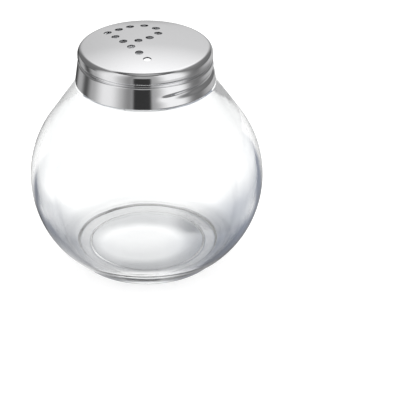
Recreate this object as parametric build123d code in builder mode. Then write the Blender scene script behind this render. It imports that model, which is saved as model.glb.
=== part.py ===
from build123d import *
from math import acos, asin, cos, degrees, radians, sin, tan
import os

# A globe-shaped glass shaker jar with a stamped steel screw lid.
# Millimetres, +Z up, origin on the ground at the centre of the foot.

# ---- Driving dimensions of the jar ----
globe_diameter = 76.0
globe_arc_radius = 34.0  # the side of the globe in section
globe_centre_height = 28.6
shoulder_angle = 34.3  # outside of the shoulder, from the vertical
throat_angle = 40.6  # inside of the shoulder, from the vertical
globe_wall = 1.8

foot_height = 3.2
foot_setback = 3.1  # of the foot's side from the globe above it
foot_land = 4.5  # width of the ring that the jar stands on
foot_edge_radius = 0.8
recess_depth = 1.5
floor_thickness = 3.4
floor_corner_radius = 8.0
underside_radius = 4.0

neck_diameter = 40.0
neck_length = 11.7
neck_wall = 3.2
shoulder_ledge = 2.3
shoulder_edge_radius = 1.0
neck_root_radius = 0.8
rim_radius = 1.2
throat_radius = 7.0

# ---- Driving dimensions of the lid ----
sheet = 0.45
thread_room = 1.2  # between the neck and the inside of the lid's upper band
seat_clearance = 0.4  # between the rim of the jar and the edge of the lid's crown
skirt_gap = 0.5  # between the lid's lower edge and the shoulder of the jar
crown_rise = 2.1
lid_shoulder_radius = 2.2
band_height = 3.1
groove_depth = 0.75
groove_upper_side = 0.65  # height of the side under the band
groove_floor = 0.35
groove_lower_side = 0.4  # height of the ledge over the skirt
groove_edge_radius = 0.7
groove_root_radius = 0.3
skirt_flare = 0.9
hem_radius = 0.6
hem_sides = 8

# ---- Driving dimensions of the pierced pattern, the letter P for pepper ----
hole_diameter = 2.4
stem_holes = 6
stem_pitch = 4.9
bowl_pitch = 4.2  # along the two straight runs of the bowl
bowl_radius = 6.1
letter_turn = 31.0
letter_corner = (-12.0, 8.9)  # the hole at the top of the stem
bend_turns = (45, 0, -45)  # the holes round the end of the bowl, from its middle

# ---- Sizes that follow ----
neck_radius = neck_diameter / 2
bore_radius = neck_radius - neck_wall
floor_height = recess_depth + floor_thickness
arc_centre = Vector(globe_diameter / 2 - globe_arc_radius, globe_centre_height)
inner_arc_radius = globe_arc_radius - globe_wall


def on_arc(radius, angle):
    """Point of an arc about the globe's section centre, at an angle above the horizontal."""
    return arc_centre + Vector(radius * cos(radians(angle)), radius * sin(radians(angle)))


def corners(sketch, *places):
    """The vertices of a sketch that lie nearest to the given places."""
    return [sketch.vertices().sort_by_distance(place)[0] for place in places]


def angle_at(radius, height):
    """Angle at which the lower part of such an arc passes a height."""
    return -degrees(asin((arc_centre.Y - height) / radius))


low_angle = angle_at(globe_arc_radius, foot_height)
foot_radius = on_arc(globe_arc_radius, low_angle).X - foot_setback
recess_radius = foot_radius - foot_land
shoulder_start = on_arc(globe_arc_radius, shoulder_angle)
shoulder_radius = neck_radius + shoulder_ledge
shoulder_height = shoulder_start.Y + (shoulder_start.X - shoulder_radius) / tan(radians(shoulder_angle))
throat_start = on_arc(inner_arc_radius, throat_angle)
throat_height = throat_start.Y + (throat_start.X - bore_radius) / tan(radians(throat_angle))
rim_height = shoulder_height + neck_length

# The jar: foot ring, globe, shoulder and neck, turned about the upright axis as one wall.
with BuildPart() as glass_jar:
    with BuildSketch(Plane.XZ) as wall:
        with BuildLine() as outside:
            foot = Polyline(
                (0, recess_depth),
                (recess_radius, recess_depth),
                (recess_radius, 0),
                (foot_radius, 0),
                (foot_radius, foot_height),
            )
            globe = CenterArc(arc_centre, globe_arc_radius, low_angle, shoulder_angle - low_angle)
            Line(foot @ 1, globe @ 0)
            neck = Polyline(
                globe @ 1,
                (shoulder_radius, shoulder_height),
                (neck_radius, shoulder_height),
                (neck_radius, rim_height),
                (bore_radius, rim_height),
                (bore_radius, throat_height),
                throat_start,
            )
            floor_angle = angle_at(inner_arc_radius, floor_height)
            inside = CenterArc(arc_centre, inner_arc_radius, floor_angle, throat_angle - floor_angle)
            Polyline(inside @ 0, (0, floor_height), (0, recess_depth))
        make_face()
        fillet(corners(wall, inside @ 0), floor_corner_radius)
        fillet(corners(wall, globe @ 0), underside_radius)
        fillet(corners(wall, (foot_radius, 0), (recess_radius, 0)), foot_edge_radius)
        fillet(corners(wall, (shoulder_radius, shoulder_height)), shoulder_edge_radius)
        fillet(corners(wall, (neck_radius, shoulder_height)), neck_root_radius)
        fillet(corners(wall, (neck_radius, rim_height), (bore_radius, rim_height)), rim_radius)
        fillet(corners(wall, (bore_radius, throat_height)), throat_radius)
    revolve(axis=Axis.Z)

# The lid: one stamping, drawn as its outside line and given the sheet's thickness.
band_radius = neck_radius + thread_room + sheet
crown_edge_height = rim_height + seat_clearance
crown_top = crown_edge_height + crown_rise
crown_radius = (band_radius**2 + crown_rise**2) / (2 * crown_rise)
crown_centre = Vector(0, crown_top - crown_radius)
shoulder_lean = degrees(acos((band_radius - lid_shoulder_radius) / (crown_radius - lid_shoulder_radius)))
shoulder_centre = crown_centre + Vector(crown_radius - lid_shoulder_radius, 0).rotate(Axis.Z, shoulder_lean)
groove_top = crown_edge_height - band_height
groove_floor_top = groove_top - groove_upper_side
groove_bottom = groove_floor_top - groove_floor - groove_lower_side
skirt_bottom = shoulder_height + skirt_gap
skirt_radius = band_radius + skirt_flare

with BuildPart() as shaker_lid:
    with BuildSketch(Plane.XZ) as stamping:
        with BuildLine():
            CenterArc(crown_centre, crown_radius, shoulder_lean, 90 - shoulder_lean)
            shoulder = CenterArc(shoulder_centre, lid_shoulder_radius, 0, shoulder_lean)
            FilletPolyline(
                shoulder @ 0,
                (band_radius, groove_top),
                (band_radius - groove_depth, groove_floor_top),
                (band_radius - groove_depth, groove_floor_top - groove_floor),
                (band_radius, groove_bottom),
                (skirt_radius, skirt_bottom + hem_radius),
                radius=[groove_edge_radius, groove_root_radius, groove_root_radius, groove_edge_radius],
            )
            offset(amount=sheet, side=Side.LEFT)
        make_face()
    revolve(axis=Axis.Z)

    # The bottom edge is curled inwards into a closed hem.
    with BuildSketch(Plane.XZ):
        with Locations((skirt_radius - hem_radius, skirt_bottom + hem_radius)):
            RegularPolygon(hem_radius, hem_sides, major_radius=False, rotation=180 / hem_sides)
    revolve(axis=Axis.Z)

    # Pour holes, pierced straight down through the crown along the strokes of the letter.
    letter = Plane.XY.offset(crown_top) * Location(
        (letter_corner[0], letter_corner[1], 0), (0, 0, letter_turn)
    )
    stem = [(0, -stem_pitch * step) for step in range(stem_holes)]
    top_run = [(bowl_pitch, 0), (2 * bowl_pitch, 0)]
    low_run = [(bowl_pitch, -2 * bowl_radius), (2 * bowl_pitch, -2 * bowl_radius)]
    bend = [
        (2 * bowl_pitch + bowl_radius * cos(radians(turn)), bowl_radius * (sin(radians(turn)) - 1))
        for turn in bend_turns
    ]
    with BuildSketch(letter):
        with Locations(*stem, *top_run, *bend, *low_run):
            Circle(hole_diameter / 2)
    extrude(amount=-(crown_rise + lid_shoulder_radius), mode=Mode.SUBTRACT)

glass_jar.part.label = "glass_jar"
shaker_lid.part.label = "shaker_lid"

os.makedirs("parts", exist_ok=True)
export_step(glass_jar.part, "parts/glass_jar.step")
export_step(shaker_lid.part, "parts/shaker_lid.step")
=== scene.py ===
from math import acos, atan2, ceil, cos, degrees, pi, radians, sin, sqrt, tan

import bpy
from mathutils import Matrix, Vector


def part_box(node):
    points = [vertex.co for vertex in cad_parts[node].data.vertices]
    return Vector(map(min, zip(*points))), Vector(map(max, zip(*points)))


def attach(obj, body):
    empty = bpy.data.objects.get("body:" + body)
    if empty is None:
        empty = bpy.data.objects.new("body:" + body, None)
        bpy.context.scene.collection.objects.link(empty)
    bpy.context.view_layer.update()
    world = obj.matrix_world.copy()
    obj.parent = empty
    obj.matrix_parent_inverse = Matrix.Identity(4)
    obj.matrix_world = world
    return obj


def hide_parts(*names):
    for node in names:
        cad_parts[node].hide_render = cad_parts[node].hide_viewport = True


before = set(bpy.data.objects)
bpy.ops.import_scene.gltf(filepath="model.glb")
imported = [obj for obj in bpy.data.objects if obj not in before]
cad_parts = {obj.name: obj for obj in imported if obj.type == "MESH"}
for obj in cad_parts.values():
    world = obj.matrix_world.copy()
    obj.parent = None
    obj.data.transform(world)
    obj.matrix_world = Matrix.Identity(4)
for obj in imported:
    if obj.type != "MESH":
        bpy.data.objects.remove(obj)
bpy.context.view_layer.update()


# ---- Glass jar ----
# One pressed and blown piece of clear glass: a foot ring with a recess under it, a globe, a conical
# shoulder and a short neck. The wall is thin at the globe's waist and heavy at the foot and the neck,
# and the neck carries a raised right-handed thread for the lid.
mm = 0.001
jar_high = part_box("glass_jar")[1]
globe_radius = jar_high.x
rim_height = jar_high.z
foot_radius = 23.5 * mm
foot_height = 3.2 * mm
foot_edge = 0.8 * mm
foot_root = 0.5 * mm
recess_radius = 19.0 * mm
recess_depth = 1.5 * mm
underside_round = 4.0 * mm
globe_arc = 34.0 * mm
globe_centre_height = 28.6 * mm
globe_wall = 1.8 * mm
shoulder_angle = 34.3
throat_angle = 40.6
floor_height = 4.9 * mm
floor_round = 8.0 * mm
neck_radius = 20.0 * mm
neck_length = 11.7 * mm
bore_radius = 16.8 * mm
shoulder_ledge = 2.3 * mm
shoulder_edge = 1.0 * mm
neck_root = 0.8 * mm
rim_round = 1.2 * mm
throat_round = 7.0 * mm
jar_sides = 176


def at(radius, height):
    """A point of the section plane."""
    return Vector((radius, height))


def arc(centre, radius, first, last, step=4.0):
    """Points of an arc in the section plane, with angles in degrees above the outward direction."""
    count = max(2, ceil(abs(last - first) / step))
    turns = [radians(first + (last - first) * i / count) for i in range(count + 1)]
    return [centre + radius * at(cos(t), sin(t)) for t in turns]


def bearing(centre, point):
    """Angle of a point as seen from an arc's centre, in degrees."""
    return degrees(atan2(point.y - centre.y, point.x - centre.x))


def rounded(before, corner, after, radius):
    """The arc that rounds a corner between two straight runs."""
    back, ahead = (before - corner).normalized(), (after - corner).normalized()
    half = back.angle(ahead) / 2
    middle = corner + (back + ahead).normalized() * radius / sin(half)
    first, last = [bearing(middle, corner + way * radius / tan(half)) for way in (back, ahead)]
    turn = (last - first + 180) % 360 - 180
    return arc(middle, radius, first, first + turn, step=9.0)


def outline(*places):
    """A section outline from plain points, (corner, radius) pairs and whole arcs given as lists."""
    runs = [[place] if isinstance(place, Vector) else place for place in places]
    points = []
    for i, run in enumerate(runs):
        if isinstance(run, tuple):
            before = runs[i - 1][0 if isinstance(runs[i - 1], tuple) else -1]
            points += rounded(before, run[0], runs[i + 1][0], run[1])
        else:
            points += run
    return points


def filled(points, spacing):
    """The same outline with repeated points left out and every long run divided evenly."""
    result = points[:1]
    for end in points[1:]:
        start = result[-1]
        count = ceil((end - start).length / spacing)
        if (end - start).length > 0.001 * mm:
            result += [start.lerp(end, i / count) for i in range(1, count + 1)]
    return result


def in_scene(name, data):
    """A new object that shows this mesh, lamp or camera."""
    made = bpy.data.objects.new(name, data)
    bpy.context.collection.objects.link(made)
    return made


def meshed(name, points, faces):
    """A new object with a mesh of these points and faces."""
    mesh = bpy.data.meshes.new(name)
    mesh.from_pydata(points, [], faces)
    return in_scene(name, mesh)


def turned(name, section, sides):
    """A closed object made by turning a section, which begins and ends on the axis, about that axis."""
    first, *rings, last = section
    turns = [2 * pi * i / sides for i in range(sides)]
    points = [(0, 0, first.y), (0, 0, last.y)]
    points += [(p.x * cos(t), p.x * sin(t), p.y) for p in rings for t in turns]
    top = len(points) - sides
    faces = []
    for i in range(sides):
        j = (i + 1) % sides
        faces.append((0, 2 + j, 2 + i))
        faces += [(low + i, low + j, low + sides + j, low + sides + i) for low in range(2, top, sides)]
        faces.append((top + i, top + j, 1))
    piece = meshed(name, points, faces)
    piece.data.shade_smooth()
    return piece


arc_centre = at(globe_radius - globe_arc, globe_centre_height)
inner_arc = globe_arc - globe_wall


def nested(radius, small, height):
    """Centre of a small rounding between the globe's arc and a level surface under it."""
    drop = arc_centre.y - height - small
    return at(arc_centre.x + sqrt((radius - small) ** 2 - drop**2), height + small)


ledge_centre = nested(globe_arc, underside_round, foot_height)
floor_centre = nested(inner_arc, floor_round, floor_height)
ledge_turn = bearing(arc_centre, ledge_centre)
floor_turn = bearing(arc_centre, floor_centre)
shoulder_height = rim_height - neck_length
throat_start = arc(arc_centre, inner_arc, 0, throat_angle)[-1]
throat_height = throat_start.y + (throat_start.x - bore_radius) / tan(radians(throat_angle))
jar_section = outline(
    at(0, recess_depth),
    (at(recess_radius, recess_depth), foot_root),
    (at(recess_radius, 0), foot_edge),
    (at(foot_radius, 0), foot_edge),
    (at(foot_radius, foot_height), foot_root),
    arc(ledge_centre, underside_round, -90, ledge_turn),
    arc(arc_centre, globe_arc, ledge_turn, shoulder_angle, step=1.5),
    (at(neck_radius + shoulder_ledge, shoulder_height), shoulder_edge),
    (at(neck_radius, shoulder_height), neck_root),
    (at(neck_radius, rim_height), rim_round),
    (at(bore_radius, rim_height), rim_round),
    (at(bore_radius, throat_height), throat_round),
    arc(arc_centre, inner_arc, throat_angle, floor_turn, step=1.5),
    arc(floor_centre, floor_round, floor_turn, -90),
    at(0, floor_height),
)
glass_jar = turned("pressed_glass_jar", filled(jar_section, spacing=0.5 * mm), jar_sides)


class Nodes:
    """Short ways to add nodes and links to a node tree."""

    def __init__(self, tree):
        self.tree = tree

    def feed(self, socket, value):
        if isinstance(value, bpy.types.NodeSocket):
            self.tree.links.new(value, socket)
        elif value is not None:
            socket.default_value = value

    def add(self, kind, *values, **settings):
        """A new node with these settings, whose inputs take the values or links in order."""
        node = self.tree.nodes.new(kind)
        for name, value in settings.items():
            setattr(node, name, value)
        for socket, value in zip(node.inputs, values):
            self.feed(socket, value)
        return node

    def sum(self, operation, *values, clamp=False):
        """A number worked out from others."""
        return self.add("ShaderNodeMath", *values, operation=operation, use_clamp=clamp).outputs[0]

    def less(self, value, taken):
        """A number less another."""
        return self.sum("SUBTRACT", value, taken)

    def times(self, product, *factors):
        """The product of some numbers."""
        for factor in factors:
            product = self.sum("MULTIPLY", product, factor)
        return product

    def vector(self, operation, *values):
        """A vector worked out from others."""
        return self.add("ShaderNodeVectorMath", *values, operation=operation).outputs["Vector"]

    def measure(self, operation, *values):
        """A number worked out from vectors, such as a length."""
        return self.add("ShaderNodeVectorMath", *values, operation=operation).outputs["Value"]

    def scaled(self, vector, factor):
        """A vector times a number."""
        node = self.add("ShaderNodeVectorMath", vector, operation="SCALE")
        self.feed(node.inputs["Scale"], factor)
        return node.outputs["Vector"]

    def along(self, factor, start, end):
        """The value that lies between two others, at this factor from 0 to 1."""
        return self.add("ShaderNodeMapRange", factor, 0.0, 1.0, start, end).outputs[0]

    def blend(self, factor, first, second):
        """The colour that lies between two others, at this factor from 0 to 1."""
        mixed = self.add("ShaderNodeMix", factor, data_type="RGBA")
        self.feed(mixed.inputs["A"], first)
        self.feed(mixed.inputs["B"], second)
        return mixed.outputs["Result"]

    def eased(self, value, low, high):
        """0 at low, 1 at high and smooth in between."""
        ramp = self.add("ShaderNodeMapRange", value, low, high, interpolation_type="SMOOTHSTEP")
        return ramp.outputs[0]


def title(label):
    """An input's name as its socket shows it."""
    return label.replace("_", " ").capitalize()


def geometry_tree(name, **inputs):
    """A new Geometry Nodes tree with these named inputs, as its nodes and its given values."""
    group = bpy.data.node_groups.new(name, "GeometryNodeTree")
    group.interface.new_socket("Geometry", in_out="OUTPUT", socket_type="NodeSocketGeometry")
    for label, kind in {"geometry": "Geometry", "material": "Material", **inputs}.items():
        group.interface.new_socket(title(label), in_out="INPUT", socket_type="NodeSocket" + kind)
    nodes = Nodes(group)
    return nodes, nodes.add("NodeGroupInput").outputs


def ended(nodes, given, geometry):
    """Ends a tree in plain mesh with its material."""
    plain = nodes.add("GeometryNodeRealizeInstances", geometry)
    finished = nodes.add("GeometryNodeSetMaterial", plain.outputs[0], None, given["Material"])
    nodes.add("NodeGroupOutput", finished.outputs[0])
    return nodes.tree


def shaped_by(piece, group, **values):
    """Runs a Geometry Nodes tree on a piece with these inputs and keeps the result as its mesh."""
    modifier = piece.modifiers.new(group.name, "NODES")
    modifier.node_group = group
    sockets = {s.name: s.identifier for s in group.interface.items_tree if s.in_out == "INPUT"}
    for label, value in values.items():
        modifier[sockets[title(label)]] = value
    mesh = bpy.data.meshes.new_from_object(piece.evaluated_get(bpy.context.evaluated_depsgraph_get()))
    piece.modifiers.clear()
    piece.data = mesh
    mesh.name = piece.name


def thread_tree():
    """Raises or sinks a right-handed helical thread in a wall, easing in and out at its ends."""
    nodes, given = geometry_tree(
        "Rolled thread",
        depth="Float",
        pitch="Float",
        half_width="Float",
        start_height="Float",
        start_angle="Float",
        turns="Float",
        run_in="Float",
        run_out="Float",
        inner_limit="Float",
    )
    place = nodes.add("GeometryNodeInputPosition").outputs[0]
    x, y, z = nodes.add("ShaderNodeSeparateXYZ", place).outputs
    flat = nodes.add("ShaderNodeCombineXYZ", x, y).outputs[0]
    angle = nodes.less(nodes.sum("ARCTAN2", y, x), given["Start angle"])
    turn = nodes.sum("FRACT", nodes.sum("DIVIDE", angle, 2 * pi))
    level = nodes.sum("DIVIDE", nodes.less(z, given["Start height"]), given["Pitch"])
    along = nodes.sum("ADD", turn, nodes.sum("ROUND", nodes.less(level, turn)))
    off = nodes.times(nodes.sum("ABSOLUTE", nodes.less(level, along)), given["Pitch"])
    across = nodes.eased(off, given["Half width"], 0.0)
    begin = nodes.eased(along, 0.0, given["Run in"])
    end = nodes.eased(nodes.less(given["Turns"], along), 0.0, given["Run out"])
    wall = nodes.sum("GREATER_THAN", nodes.measure("LENGTH", flat), given["Inner limit"])
    swell = nodes.times(across, begin, end, wall, given["Depth"])
    shift = nodes.scaled(nodes.vector("NORMALIZE", flat), swell)
    moved = nodes.add("GeometryNodeSetPosition", given["Geometry"], None, None, shift)
    return ended(nodes, given, moved.outputs[0])


def wavy_tree():
    """Makes the inside of the globe slightly uneven, as glass blown against no mould is."""
    nodes, given = geometry_tree(
        "Blown inside",
        swing="Float",
        wave_size="Float",
        seed="Float",
        arc_centre="Vector",
        arc_limit="Float",
        lowest="Float",
    )
    place = nodes.add("GeometryNodeInputPosition").outputs[0]
    x, y, z = nodes.add("ShaderNodeSeparateXYZ", place).outputs
    radius = nodes.measure("LENGTH", nodes.add("ShaderNodeCombineXYZ", x, y).outputs[0])
    section = nodes.add("ShaderNodeCombineXYZ", radius, 0.0, z).outputs[0]
    depth = nodes.measure("DISTANCE", section, given["Arc centre"])
    inside = nodes.sum("LESS_THAN", depth, given["Arc limit"])
    inside = nodes.times(inside, nodes.sum("GREATER_THAN", z, given["Lowest"]))
    waves = nodes.scaled(place, nodes.sum("DIVIDE", 1.0, given["Wave size"]))
    noise = nodes.add("ShaderNodeTexNoise", waves, given["Seed"], noise_dimensions="4D")
    noise.inputs["Scale"].default_value = 1.0
    noise.inputs["Detail"].default_value = 2.0
    swing = nodes.times(nodes.less(noise.outputs["Fac"], 0.5), given["Swing"])
    outward = nodes.add("GeometryNodeInputNormal").outputs[0]
    shift = nodes.scaled(outward, nodes.times(swing, inside))
    moved = nodes.add("GeometryNodeSetPosition", given["Geometry"], None, None, shift)
    return ended(nodes, given, moved.outputs[0])


def handling_group():
    """Faint smears left by hands and by drying, as a mask from 0 to 1."""
    group = bpy.data.node_groups.new("Handling", "ShaderNodeTree")
    group.interface.new_socket("Size", in_out="INPUT", socket_type="NodeSocketFloat")
    group.interface.new_socket("Mask", in_out="OUTPUT", socket_type="NodeSocketFloat")
    nodes = Nodes(group)
    given = nodes.add("NodeGroupInput").outputs
    where = nodes.add("ShaderNodeTexCoord").outputs["Object"]
    smear = nodes.add("ShaderNodeTexNoise", where, None, given["Size"])
    smear.inputs["Detail"].default_value = 6.0
    nodes.add("NodeGroupOutput", nodes.eased(smear.outputs["Fac"], 0.45, 0.75))
    return group


def material(name):
    """A new material, as itself, its nodes and its shader's inputs."""
    made = bpy.data.materials.new(name)
    made.use_nodes = True
    return made, Nodes(made.node_tree), made.node_tree.nodes["Principled BSDF"].inputs


def smeared(nodes, shader, size, clean, dull):
    """Roughness that rises from clean to dull under the smears."""
    marks = nodes.add("ShaderNodeGroup", node_tree=handling)
    marks.inputs["Size"].default_value = size
    nodes.feed(shader["Roughness"], nodes.along(marks.outputs["Mask"], clean, dull))


handling = handling_group()
rolled_thread = thread_tree()
thread_pitch = 4.2 * mm

clear_glass, nodes, shader = material("clear_pressed_glass")
shader["Transmission Weight"].default_value = 1.0
shader["IOR"].default_value = 1.5
shader["Base Color"].default_value = (0.99, 0.995, 0.995, 1)
smeared(nodes, shader, size=90.0, clean=0.0, dull=0.015)

shaped_by(
    glass_jar,
    rolled_thread,
    material=clear_glass,
    depth=0.8 * mm,
    pitch=thread_pitch,
    half_width=0.85 * mm,
    start_height=65.2 * mm,
    start_angle=radians(20),
    turns=1.0,
    run_in=0.06,
    run_out=0.06,
    inner_limit=neck_radius - 0.1 * mm,
)
shaped_by(
    glass_jar,
    wavy_tree(),
    material=clear_glass,
    swing=0.16 * mm,
    wave_size=16.0 * mm,
    seed=3.0,
    arc_centre=(arc_centre.x, 0, arc_centre.y),
    arc_limit=globe_arc - globe_wall / 2,
    lowest=floor_height + 4.0 * mm,
)
glass_jar.visible_shadow = False
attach(glass_jar, "jar")
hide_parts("glass_jar")


# ---- Screw lid ----
# One stamping of thin polished stainless steel, screwed on the jar's neck: a slightly domed crown
# pierced with pour holes, a small rounded shoulder, a rolled groove, and a flared skirt with a rolled
# thread and a curled bottom edge.
lid_low, lid_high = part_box("shaker_lid")
sheet = 0.45 * mm
crown_top = lid_high.z
crown_rise = 2.1 * mm
lid_round = 2.2 * mm
band_radius = 21.65 * mm
band_height = 3.1 * mm
groove_depth = 0.75 * mm
groove_upper_side = 0.65 * mm
groove_floor = 0.35 * mm
groove_lower_side = 0.4 * mm
groove_edge = 0.7 * mm
groove_root = 0.3 * mm
skirt_radius = lid_high.x
skirt_bottom = lid_low.z
hem_radius = 0.6 * mm
lid_sides = 256
crown_sphere = (band_radius**2 + crown_rise**2) / (2 * crown_rise)
crown_centre = at(0, crown_top - crown_sphere)
lean = degrees(acos((band_radius - lid_round) / (crown_sphere - lid_round)))
round_centre = arc(crown_centre, crown_sphere - lid_round, lean, lean)[0]
groove_top = crown_top - crown_rise - band_height
groove_floor_top = groove_top - groove_upper_side
groove_bottom = groove_floor_top - groove_floor - groove_lower_side
hem_centre = at(skirt_radius - hem_radius, skirt_bottom + hem_radius)


def skin(inset):
    """The lid's section line from the crown down to the hem, this far inside the sheet."""
    floor_radius = band_radius - groove_depth - inset
    return outline(
        arc(crown_centre, crown_sphere - inset, 90, lean, step=0.35),
        arc(round_centre, lid_round - inset, lean, 0, step=6),
        (at(band_radius - inset, groove_top), groove_edge - inset / 2),
        (at(floor_radius, groove_floor_top), groove_root + inset / 2),
        (at(floor_radius, groove_floor_top - groove_floor), groove_root + inset / 4),
        (at(band_radius - inset, groove_bottom), groove_edge - inset / 2),
        at(skirt_radius - inset, hem_centre.y),
    )


curl_end = degrees(acos(1 - sheet / hem_radius)) - 360
curl = arc(hem_centre, hem_radius, 0, curl_end, step=20)
lid_section = skin(0) + curl[1:] + skin(sheet)[-2::-1]
shaker_lid = turned("pierced_screw_lid", filled(lid_section[::-1], spacing=0.3 * mm), lid_sides)

# The pour holes stand along the strokes of a letter P: a straight stem and a bowl with a round end.
hole_radius = 1.2 * mm
hole_edge = 0.2 * mm
hole_depth = 1.2 * mm
stem_holes = 6
stem_pitch = 4.9 * mm
bowl_pitch = 4.2 * mm
bowl_radius = 6.1 * mm
letter_turn = radians(31)
letter_corner = Vector((-12.0 * mm, 8.9 * mm, 0))
strokes = [Vector((0, -stem_pitch * i, 0)) for i in range(stem_holes)]
strokes += [Vector((bowl_pitch * i, -drop, 0)) for i in (1, 2) for drop in (0, 2 * bowl_radius)]
bowl_middle = Vector((2 * bowl_pitch, -bowl_radius, 0))
strokes += [bowl_middle + bowl_radius * Vector((cos(t), sin(t), 0)) for t in (pi / 4, 0, -pi / 4)]
hole_places = [letter_corner + Matrix.Rotation(letter_turn, 3, "Z") @ place for place in strokes]
for place in hole_places:
    place.z = crown_centre.y + sqrt(crown_sphere**2 - place.length_squared)


def pour_hole_tree():
    """Pierces a domed sheet at each given point, square to the dome, with a rounded upper edge."""
    nodes, given = geometry_tree(
        "Pour holes",
        places="Object",
        hole_radius="Float",
        edge_radius="Float",
        depth="Float",
        dome_centre="Vector",
    )
    here = nodes.add("GeometryNodeInputPosition").outputs[0]
    reach = nodes.add("ShaderNodeCombineXYZ", 0.0, 0.0, given["Depth"]).outputs[0]
    line = nodes.add("GeometryNodeCurvePrimitiveLine", nodes.scaled(reach, -1.0), reach)
    fine = nodes.add("GeometryNodeResampleCurve", line.outputs[0])
    fine.inputs["Count"].default_value = 121
    level = nodes.add("ShaderNodeSeparateXYZ", here).outputs["Z"]
    rise = nodes.sum("ADD", nodes.sum("DIVIDE", level, given["Edge radius"]), 1.0, clamp=True)
    fall = nodes.sum("SQRT", nodes.less(1.0, nodes.times(rise, rise)))
    flare = nodes.times(given["Edge radius"], nodes.less(1.0, fall))
    width = nodes.sum("ADD", given["Hole radius"], flare)
    ring = nodes.add("GeometryNodeCurvePrimitiveCircle")
    ring.inputs["Resolution"].default_value = 48
    ring.inputs["Radius"].default_value = 1.0
    punch = nodes.add("GeometryNodeCurveToMesh", fine.outputs[0], ring.outputs[0], width, True)
    points = nodes.add("GeometryNodeObjectInfo", given["Places"]).outputs["Geometry"]
    outward = nodes.vector("SUBTRACT", here, given["Dome centre"])
    square = nodes.add("FunctionNodeAlignRotationToVector", None, None, outward, axis="Z")
    punches = nodes.add("GeometryNodeInstanceOnPoints", points, None, punch.outputs[0])
    nodes.feed(punches.inputs["Rotation"], square.outputs[0])
    pierced = nodes.add(
        "GeometryNodeMeshBoolean",
        given["Geometry"],
        nodes.add("GeometryNodeRealizeInstances", punches.outputs[0]).outputs[0],
        operation="DIFFERENCE",
        solver="MANIFOLD",
    )
    return ended(nodes, given, nodes.add("GeometryNodeSetShadeSmooth", pierced.outputs[0]).outputs[0])


# Painted shade: the steel is darker where it faces the inside of the lid and on the walls of the pour
# holes, where the lid shades it.
lid_middle = Vector((0, 0, 66.0 * mm))
holes_reach = 18.5 * mm
nearly_level = 0.94
outer_steel = (0.80, 0.80, 0.81, 1)
painted_shade_steel = (0.30, 0.30, 0.31, 1)
polished_steel, nodes, shader = material("polished_stainless_steel")
shader["Metallic"].default_value = 1.0
where = nodes.add("ShaderNodeTexCoord").outputs["Object"]
facing = nodes.add("ShaderNodeNewGeometry").outputs["Normal"]
from_middle = nodes.vector("SUBTRACT", where, lid_middle)
outside = nodes.sum("GREATER_THAN", nodes.measure("DOT_PRODUCT", facing, from_middle), 0.0)
facing_up = nodes.add("ShaderNodeSeparateXYZ", facing).outputs["Z"]
crown_face = nodes.sum("GREATER_THAN", facing_up, nearly_level)
from_axis = nodes.measure("LENGTH", nodes.vector("MULTIPLY", where, (1, 1, 0)))
past_holes = nodes.sum("GREATER_THAN", from_axis, holes_reach)
outside = nodes.times(outside, nodes.sum("MAXIMUM", crown_face, past_holes))
# Painted shade inside the lid and in the pour holes, by a darker base colour.
nodes.feed(shader["Base Color"], nodes.blend(outside, painted_shade_steel, outer_steel))
smeared(nodes, shader, size=150.0, clean=0.09, dull=0.14)

shaped_by(
    shaker_lid,
    rolled_thread,
    material=polished_steel,
    depth=-0.9 * mm,
    pitch=thread_pitch,
    half_width=1.5 * mm,
    start_height=66.0 * mm,
    start_angle=radians(-84),
    turns=0.75,
    run_in=0.08,
    run_out=0.3,
    inner_limit=band_radius - 1.5 * mm,
)
place_points = meshed("pour_hole_places", hole_places, [])
shaped_by(
    shaker_lid,
    pour_hole_tree(),
    material=polished_steel,
    places=place_points,
    hole_radius=hole_radius,
    edge_radius=hole_edge,
    depth=hole_depth,
    dome_centre=(0, 0, crown_centre.y),
)
bpy.data.objects.remove(place_points)
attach(shaker_lid, "lid")
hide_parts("shaker_lid")


# ---- Studio ----
# A pale sweep under soft light, in a light tent whose panels only reflections see. Through the glass
# the sweep shows a painted shadow ring round the foot, a painted shadow in front of it and painted shade
# at both sides, and reflections see a painted patch of the shaker's shadow to its right. To the eye it
# is plain white, with the shaker's own shadow on it.
white = (1, 1, 1, 1)

# Each panel's turn from the front, half its width and its soft edge in degrees, and its grey level.
tent_panels = (
    (-62, 17, 13, 0.98),
    (-26, 6, 6, 0.28),
    (46, 21, 13, 1.1),
    (88, 14, 12, 0.20),
    (135, 15, 12, 0.60),
    (-108, 9, 8, 0.10),
    (-150, 10, 9, 0.06),
)
tent_cloth = 0.45
lens_slit = (-5.5, 14, 2.5)
lens_slit_level = 0.04
# A painted patch of the shaker's shadow on the sweep to its right, as reflections see it: turn, half
# width, soft edge, grey level.
shaker_shadow_side = (80, 64, 12)
shaker_shadow_level = 0.25


def panel_mask(nodes, x, y, middle, half, soft):
    """1 within a panel of the light tent, which stands at this turn from the front, with a soft edge."""
    turn = nodes.sum("ARCTAN2", x, nodes.times(y, -1.0))
    off = nodes.sum("ABSOLUTE", nodes.less(turn, radians(middle)))
    return nodes.eased(off, radians(half + soft), radians(half - soft))


def tent_level(nodes, x, y, slit_height):
    """Grey level of the light tent in this direction, with its panels and the lens slit in front."""
    level = tent_cloth
    for *panel, panel_level in tent_panels:
        level = nodes.along(panel_mask(nodes, x, y, *panel), level, panel_level)
    slit = nodes.times(panel_mask(nodes, x, y, *lens_slit), slit_height)
    return nodes.along(slit, level, lens_slit_level)


white_sweep, nodes, shader = material("white_sweep")
shader["Base Color"].default_value = (0.9, 0.9, 0.9, 1)
shader["Roughness"].default_value = 0.9
shader["Specular IOR Level"].default_value = 0.0
shader["Emission Color"].default_value = white
shader["Emission Strength"].default_value = 0.3
where = nodes.add("ShaderNodeTexCoord").outputs["Object"]
x, y, z = nodes.add("ShaderNodeSeparateXYZ", where).outputs
reach = nodes.measure("LENGTH", where)
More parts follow.
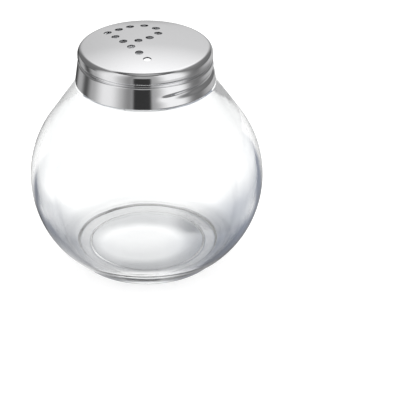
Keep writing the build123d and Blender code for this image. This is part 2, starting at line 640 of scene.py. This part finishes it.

# Painted shade at both sides of the foot, seen through the glass, starts further out behind the shaker.
# Elsewhere it ends about 50 mm from its axis.
from_back = nodes.sum("ABSOLUTE", nodes.sum("ARCTAN2", x, y))
forward = nodes.eased(from_back, radians(60), radians(84))
near = nodes.less(1.0, nodes.times(nodes.eased(reach, 42 * mm, 62 * mm), forward))
set_back = nodes.times(nodes.sum("MAXIMUM", y, 0.0), 0.5)
far_behind = nodes.sum("MAXIMUM", nodes.less(y, 28 * mm), 0.0)
to_left = nodes.less(nodes.times(x, -1.0), nodes.sum("ADD", set_back, far_behind))
to_right = nodes.less(x, nodes.sum("ADD", set_back, nodes.times(far_behind, 0.4)))
painted_left_shade = nodes.times(nodes.eased(to_left, 6 * mm, 40 * mm), near)
painted_right_shade = nodes.times(nodes.eased(to_right, 0.0, 32 * mm), near)

# A painted shadow ring lies round a bright oval pool under the foot and is deepest behind it on the
# right.
pool_x = nodes.sum("DIVIDE", nodes.sum("ADD", x, 2 * mm), 17 * mm)
pool_y = nodes.sum("DIVIDE", y, 13.5 * mm)
pool = nodes.measure("LENGTH", nodes.add("ShaderNodeCombineXYZ", pool_x, pool_y).outputs[0])
# Painted contact shadow round the foot, as rays through the glass see the sweep.
ring = nodes.times(nodes.eased(pool, 0.65, 1.15), nodes.eased(pool, 2.8, 1.2))
corner = nodes.times(nodes.eased(x, 6 * mm, 16 * mm), nodes.eased(y, 4 * mm, 8 * mm))
ring = nodes.times(ring, nodes.along(corner, 0.46, 0.85), nodes.eased(y, -22.5 * mm, -19 * mm))
ring = nodes.sum("MAXIMUM", ring, nodes.times(nodes.eased(pool, 1.0, 0.5), 0.15))

# A painted shadow in front darkens towards the front edge of the foot and stops 2 to 5 mm short of it.
slope = nodes.times(nodes.eased(y, 6 * mm, -18 * mm), 0.45)
painted_front_shadow = nodes.along(nodes.eased(y, -11 * mm, -18 * mm), slope, 0.60)
painted_front_shadow = nodes.times(painted_front_shadow, nodes.eased(y, -21 * mm, -18.5 * mm))

bright_sweep = 1.18
cool_shadow_grey = Vector((0.84, 0.93, 1.15))
painted_shade_under_glass = (bright_sweep, bright_sweep, bright_sweep, 1)
# Painted shade and shadows in a cool grey, laid over the bright sweep that the glass shows.
for amount, level in ((painted_left_shade, 0.24), (painted_right_shade, 0.34), (ring, 0.10), (painted_front_shadow, 0.10)):
    painted_shade_under_glass = nodes.blend(amount, painted_shade_under_glass, (*(cool_shadow_grey * level), 1))

path = nodes.add("ShaderNodeLightPath").outputs
# The sweep with its painted shadows, as an emission only rays through the glass see.
shaded_sweep_through_glass = nodes.add("ShaderNodeEmission", painted_shade_under_glass, 1.0)
# Painted shadow of the shaker on the sweep near it, seen only in reflections.
reflected_shaker_shadow = nodes.times(nodes.eased(reach, 190 * mm, 140 * mm), panel_mask(nodes, x, y, *shaker_shadow_side))
tent = nodes.along(reflected_shaker_shadow, tent_level(nodes, x, y, 1.0), shaker_shadow_level)
mirrored = nodes.add("ShaderNodeEmission", white, tent)
horizon = nodes.add("ShaderNodeEmission", white, 1.0)
far_off = nodes.times(nodes.eased(reach, 250 * mm, 700 * mm), path["Is Camera Ray"])
shown = nodes.tree.nodes["Principled BSDF"].outputs[0]
for factor, instead in (
    (far_off, horizon),
    (path["Is Glossy Ray"], mirrored),
    (path["Is Transmission Ray"], shaded_sweep_through_glass),
):
    shown = nodes.add("ShaderNodeMixShader", factor, shown, instead.outputs[0]).outputs[0]
nodes.feed(nodes.tree.nodes["Material Output"].inputs["Surface"], shown)

floor_reach = 3.0
corners = [(floor_reach * i, floor_reach * j, 0) for i, j in ((-1, -1), (1, -1), (1, 1), (-1, 1))]
studio_floor = meshed("studio_floor", corners, [(0, 1, 2, 3)])
studio_floor.data.materials.append(white_sweep)

world = bpy.data.worlds.new("soft_studio")
bpy.context.scene.world = world
world.use_nodes = True
nodes = Nodes(world.node_tree)
way = nodes.add("ShaderNodeTexCoord").outputs["Generated"]
across, ahead, up = nodes.add("ShaderNodeSeparateXYZ", way).outputs
sideways = nodes.sum("ABSOLUTE", across)
height = nodes.sum("DIVIDE", nodes.sum("ARCSINE", up), pi / 2)


def by_height(*stops):
    """Grey levels of the studio's walls and ceiling by their height above the horizon in degrees."""
    ramp = nodes.add("ShaderNodeValToRGB", height)
    elements = ramp.color_ramp.elements
    while len(elements) < len(stops):
        elements.new(0.5)
    for element, (elevation, level) in zip(elements, stops):
        element.position = elevation / 90
        element.color = (level, level, level, 1)
    return ramp.outputs["Color"]


def climbing(low, high):
    """0 at the first height above the horizon in degrees, 1 at the second and smooth in between."""
    return nodes.eased(height, low / 90, high / 90)


# What reflections see: the tent and its ceiling in front, and pale walls with grey wings behind.
back_wall = nodes.eased(ahead, -0.12, 0.06)
behind = by_height(
    *((0, 0.34), (9, 0.70), (27, 0.75), (36, 1.0), (46, 1.25)),
    *((60, 1.25), (66, 0.15), (74, 0.15), (90, 0.7)),
)
left_shade = nodes.times(nodes.eased(across, 0.0, -0.25), 0.16)
behind = nodes.blend(left_shade, behind, (0, 0, 0, 1))
wings = nodes.times(nodes.eased(sideways, 0.26, 0.58), 0.85)
behind = nodes.blend(wings, behind, (0.1, 0.1, 0.1, 1))
tent_wall = tent_level(nodes, across, ahead, slit_height=climbing(26, 14))
tent_wall = nodes.add("ShaderNodeCombineXYZ", tent_wall, tent_wall, tent_wall).outputs[0]
ceiling = by_height((0, 0.0), (58, 0.0), (66, 0.05), (78, 0.45), (90, 0.7))
in_front = nodes.blend(climbing(58, 64), tent_wall, ceiling)
for_steel = nodes.blend(back_wall, in_front, behind)

# What the glass shows: pale walls behind with a grey card on the right, and darker ones in front.
beyond = by_height((0, 0.85), (30, 1.1), (90, 1.25))
card = nodes.times(nodes.eased(across, 0.12, 0.25), nodes.eased(across, 0.85, 0.60))
beyond = nodes.blend(nodes.times(card, 0.65), beyond, (0.1, 0.1, 0.11, 1))
nearer = by_height((0, 0.55), (12, 0.45), (20, 0.15), (55, 0.15), (78, 1.2), (90, 1.25))
past_sides = nodes.sum("MAXIMUM", back_wall, nodes.eased(sideways, 0.70, 0.90))
for_glass = nodes.blend(past_sides, nearer, beyond)

path = nodes.add("ShaderNodeLightPath").outputs
lit = nodes.blend(path["Is Glossy Ray"], (0.6, 0.6, 0.6, 1), for_steel)
lit = nodes.blend(path["Is Transmission Ray"], lit, for_glass)
lit = nodes.blend(path["Is Camera Ray"], lit, white)
nodes.feed(nodes.tree.nodes["Background"].inputs["Color"], lit)

softbox = bpy.data.lights.new("overhead_softbox", "AREA")
softbox.size = 0.8
softbox.energy = 6.0
lamp = in_scene("overhead_softbox", softbox)
lamp.location = (0.0, 0.1, 0.9)
lamp.visible_glossy = False
lamp.visible_transmission = False


# ---- Camera ----
# It looks down on the shaker from the front, tilted a little about its own axis, with the shaker to the
# left of the picture's middle and above it.
camera_distance = 0.7
camera_elevation = radians(27.44)
camera_roll = radians(0.75)
look_at = Vector((0, 0, 38 * mm))
turned_right = radians(1.428)
turned_down = radians(1.386)
camera = in_scene("camera", bpy.data.cameras.new("camera"))
camera.data.sensor_width = 36.0
camera.data.lens = 193.05
upright = Matrix.Rotation(pi / 2 - camera_elevation, 4, "X")
rolled = upright @ Matrix.Rotation(-camera_roll, 4, "Z")
stood_back = rolled @ Matrix.Translation((0, 0, camera_distance))
aimed = Matrix.Rotation(-turned_right, 4, "Y") @ Matrix.Rotation(-turned_down, 4, "X")
camera.matrix_world = Matrix.Translation(look_at) @ stood_back @ aimed
bpy.context.scene.camera = camera
bpy.context.scene.view_settings.view_transform = "Standard"
